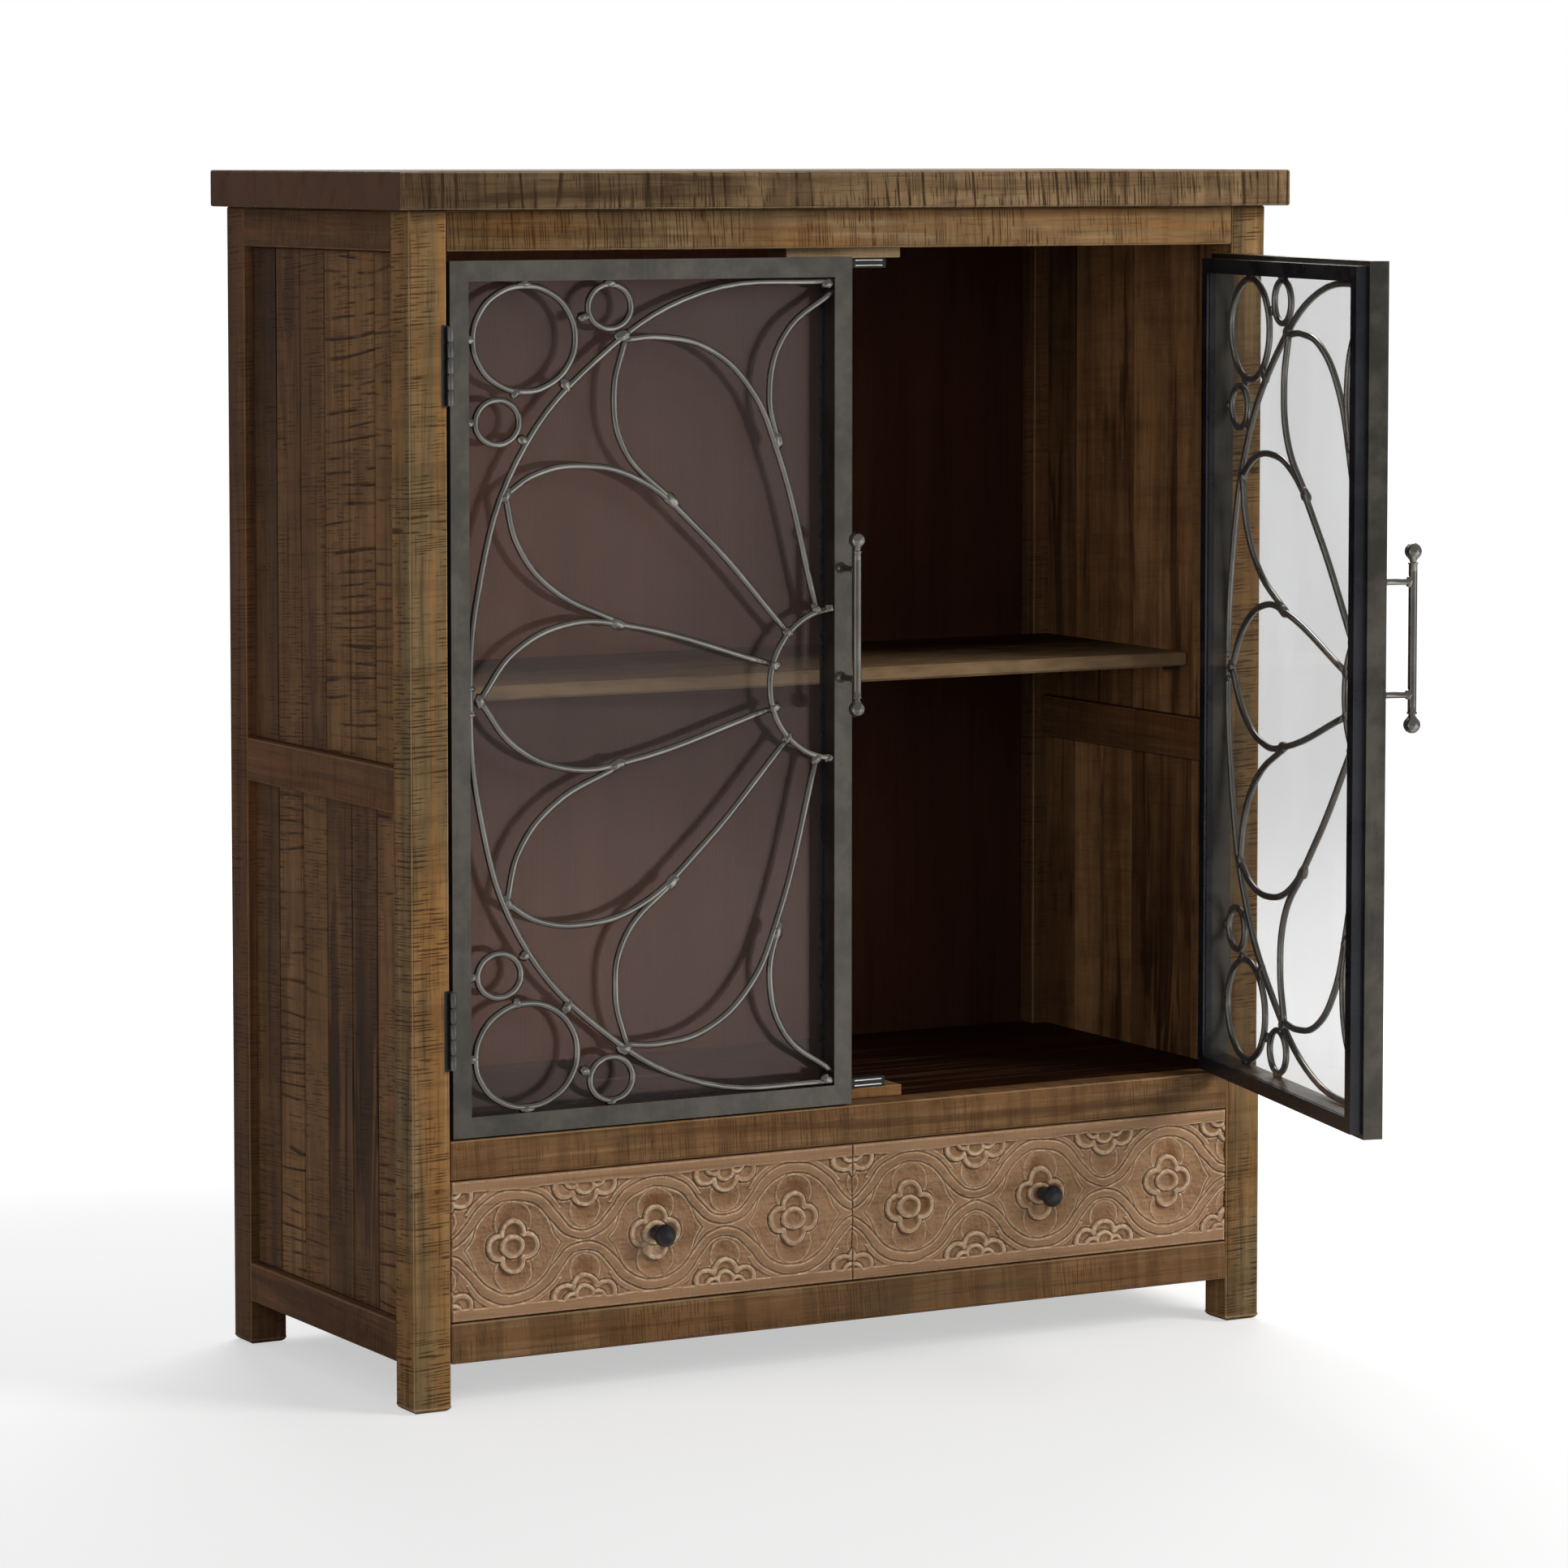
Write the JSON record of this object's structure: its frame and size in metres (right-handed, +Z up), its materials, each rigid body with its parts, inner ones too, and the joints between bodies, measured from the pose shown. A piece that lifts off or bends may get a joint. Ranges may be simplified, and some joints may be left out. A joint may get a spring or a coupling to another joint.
{
  "type": "two-door cabinet with drawers",
  "caption": "Free-standing wooden cabinet with hinged glass doors behind wrought-iron petal grilles, an inner shelf and carved drawers below.",
  "frame": {"origin": "on the floor, in the middle of the width, in the plane of the front posts' faces", "axes": "+X to the right of a person facing the front, +Y from the front to the back, +Z up"},
  "size_m": [1.02, 0.8719, 1.207],
  "materials": {
    "frame_wood": "waxed, rubbed back at the edges",
    "side_wood": "dark waxed",
    "plank_wood": "dark waxed, saw marks",
    "top_wood": "waxed, slight sheen",
    "carved_wood": "carved, limed in the grooves",
    "inner_wood": "dark stained",
    "box_wood": "plain planed",
    "block_wood": "plain sawn",
    "painted_iron": "gunmetal, satin",
    "handle_iron": "gunmetal, semi gloss",
    "hinge_steel": "dull",
    "pole_steel": "bright",
    "knob_iron": "black, semi gloss",
    "black_plastic": "matte",
    "glass": "clear"
  },
  "bodies": {
    "cabinet": {"top_slab": "top_wood", "front_top_rail": "frame_wood", "front_middle_rail": "frame_wood", "front_bottom_rail": "frame_wood", "back_rails": "side_wood", "back_panel": "inner_wood", "cabinet_floor": "inner_wood", "floor_cleats": "inner_wood", "shelf": "inner_wood", "shelf_pins": "hinge_steel", "centre_drawer_bearer": "box_wood", "upper_stop_block": "block_wood", "lower_stop_block": "block_wood", "magnetic_catches": "black_plastic", "catch_pole_plates": "pole_steel", "left_front_post": "frame_wood", "left_rear_post": "side_wood", "left_side_top_rail": "side_wood", "left_side_middle_rail": "side_wood", "left_side_bottom_rail": "side_wood", "left_upper_planks": "plank_wood", "left_lower_planks": "plank_wood", "left_side_drawer_bearer": "box_wood", "left_post_hinge_leaves": "hinge_steel", "left_hinge_pins": "hinge_steel", "right_front_post": "frame_wood", "right_rear_post": "side_wood", "right_side_top_rail": "side_wood", "right_side_middle_rail": "side_wood", "right_side_bottom_rail": "side_wood", "right_upper_planks": "plank_wood", "right_lower_planks": "plank_wood", "right_side_drawer_bearer": "box_wood", "right_post_hinge_leaves": "hinge_steel", "right_hinge_pins": "hinge_steel"},
    "left_door": {"left_door_frame": "painted_iron", "left_door_glass_frame": "painted_iron", "left_door_glass": "glass", "left_door_grille": "painted_iron", "left_door_handle": "handle_iron", "left_door_hinge_leaves": "hinge_steel"},
    "right_door": {"right_door_frame": "painted_iron", "right_door_glass_frame": "painted_iron", "right_door_glass": "glass", "right_door_grille": "painted_iron", "right_door_handle": "handle_iron", "right_door_hinge_leaves": "hinge_steel"},
    "left_drawer": {"left_drawer_front": "carved_wood", "left_drawer_sides": "box_wood", "left_drawer_back": "box_wood", "left_drawer_bottom": "box_wood", "left_drawer_knob": "knob_iron", "left_drawer_knob_screw": "hinge_steel"},
    "right_drawer": {"right_drawer_front": "carved_wood", "right_drawer_sides": "box_wood", "right_drawer_back": "box_wood", "right_drawer_bottom": "box_wood", "right_drawer_knob": "knob_iron", "right_drawer_knob_screw": "hinge_steel"}
  },
  "joints": [
    {"name": "left_door_hinge", "type": "hinge", "parent": "cabinet", "child": "left_door", "pos_m": [-0.4495, -0.004, 0.69725], "axis": [0, 0, -1], "range_deg": [0, 110]},
    {"name": "right_door_hinge", "type": "hinge", "parent": "cabinet", "child": "right_door", "pos_m": [0.4495, -0.004, 0.69725], "axis": [0, 0, 1], "range_deg": [-76.6, 33.4]},
    {"name": "left_drawer_slide", "type": "slide", "parent": "cabinet", "child": "left_drawer", "axis": [0, -1, 0], "range_m": [0, 0.28]},
    {"name": "right_drawer_slide", "type": "slide", "parent": "cabinet", "child": "right_drawer", "axis": [0, -1, 0], "range_m": [0, 0.28]}
  ]
}
